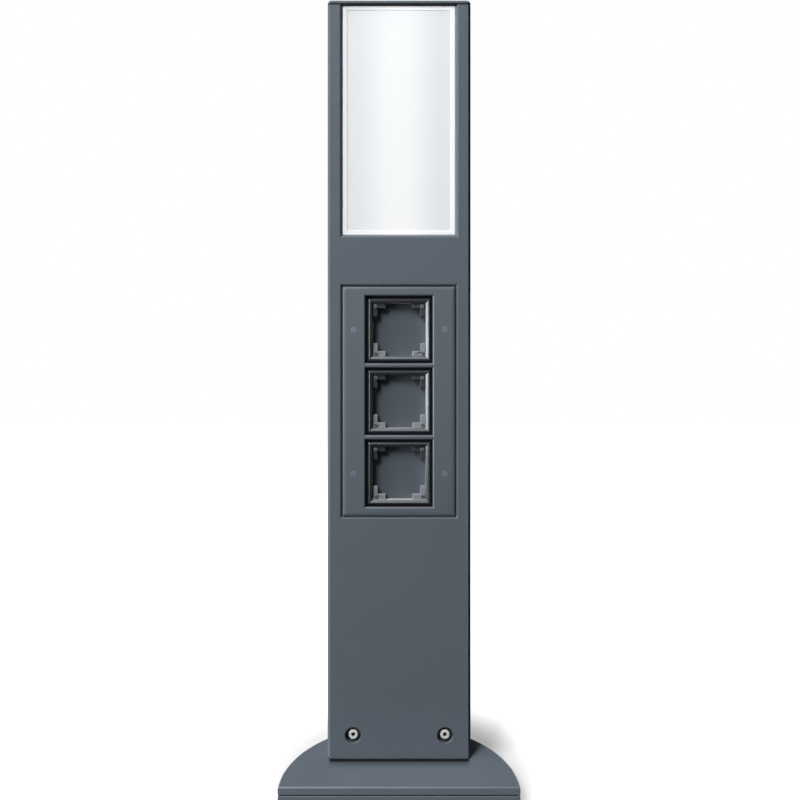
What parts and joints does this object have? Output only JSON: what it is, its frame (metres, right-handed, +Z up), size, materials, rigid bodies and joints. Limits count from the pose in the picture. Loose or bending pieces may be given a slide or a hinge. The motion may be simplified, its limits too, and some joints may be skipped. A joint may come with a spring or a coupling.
{
  "type": "garden socket post",
  "caption": "D-shaped outdoor power post on a D-shaped base, with an opal light window at the top and a front panel of empty square insert bays.",
  "frame": {"origin": "middle of the part's outline on the ground under the base", "axes": "+Z up along the post, the flat front with the window and the panel faces -Y, +X to the right of somebody who looks at the front"},
  "size_m": [0.224, 0.118, 0.77],
  "materials": {
    "column_coat": "satin",
    "base_coat": "satin",
    "panel_coat": "satin",
    "opal_plastic": "satin",
    "seal_rubber": "matt",
    "stainless": "satin",
    "zinc_steel": "zinc plated",
    "black_steel": "matt black coating",
    "black_plastic": "moulded",
    "pale_plastic": "moulded",
    "brass": "plain",
    "lamp_glass": "smooth",
    "white_sheet": "white coating",
    "pad_alloy": "plain",
    "lead_sheath": "smooth"
  },
  "bodies": {
    "post": {"base_plate": "base_coat", "base_seal": "seal_rubber", "base_cover": "base_coat", "cover_screws": "stainless", "cable_bush": "seal_rubber", "foot_brackets": "zinc_steel", "foot_bolts": "stainless", "bracket_nuts": "zinc_steel", "foot_seal": "seal_rubber", "column_profile": "column_coat", "screw_pads": "pad_alloy", "column_screws": "stainless", "chassis": "black_steel", "box_links": "pale_plastic", "clip_screws": "stainless", "mounting_plate": "zinc_steel", "plate_screws": "stainless", "terminal_block": "pale_plastic", "terminal_screws": "brass", "terminal_fixings": "stainless", "control_gear": "pale_plastic", "gear_screws": "stainless", "earth_stud": "brass", "earth_nuts": "brass", "lamp_lead": "lead_sheath", "lead_bush": "seal_rubber", "light_floor": "white_sheet", "floor_screws": "stainless", "lamp_holder": "pale_plastic", "holder_screws": "stainless", "reflector": "white_sheet", "reflector_screws": "stainless", "device_box_1": "pale_plastic", "insert_frame_1": "panel_coat", "blank_plate_1": "panel_coat", "corner_clips_1": "black_plastic", "device_box_2": "pale_plastic", "insert_frame_2": "panel_coat", "blank_plate_2": "panel_coat", "corner_clips_2": "black_plastic", "device_box_3": "pale_plastic", "insert_frame_3": "panel_coat", "blank_plate_3": "panel_coat", "corner_clips_3": "black_plastic"},
    "diffuser": {"diffuser": "opal_plastic"},
    "cap": {"cap_plate": "column_coat", "cap_seal": "seal_rubber", "cap_screws": "stainless"},
    "panel": {"socket_panel": "panel_coat", "panel_seal": "seal_rubber", "panel_screws": "stainless"},
    "lamp": {"lamp_tubes": "lamp_glass", "lamp_base": "pale_plastic", "lamp_pins": "brass"}
  },
  "joints": [
    {"name": "diffuser_lift", "type": "slide", "parent": "post", "child": "diffuser", "axis": [0, 0, 1], "range_m": [0, 0.23]},
    {"name": "cap_lift", "type": "slide", "parent": "diffuser", "child": "cap", "axis": [0, 0, 1], "range_m": [0, 0.06]},
    {"name": "panel_pull", "type": "slide", "parent": "post", "child": "panel", "axis": [0, -1, 0], "range_m": [0, 0.04]},
    {"name": "lamp_unplug", "type": "slide", "parent": "post", "child": "lamp", "axis": [0, 0, 1], "range_m": [0, 0.02]}
  ]
}
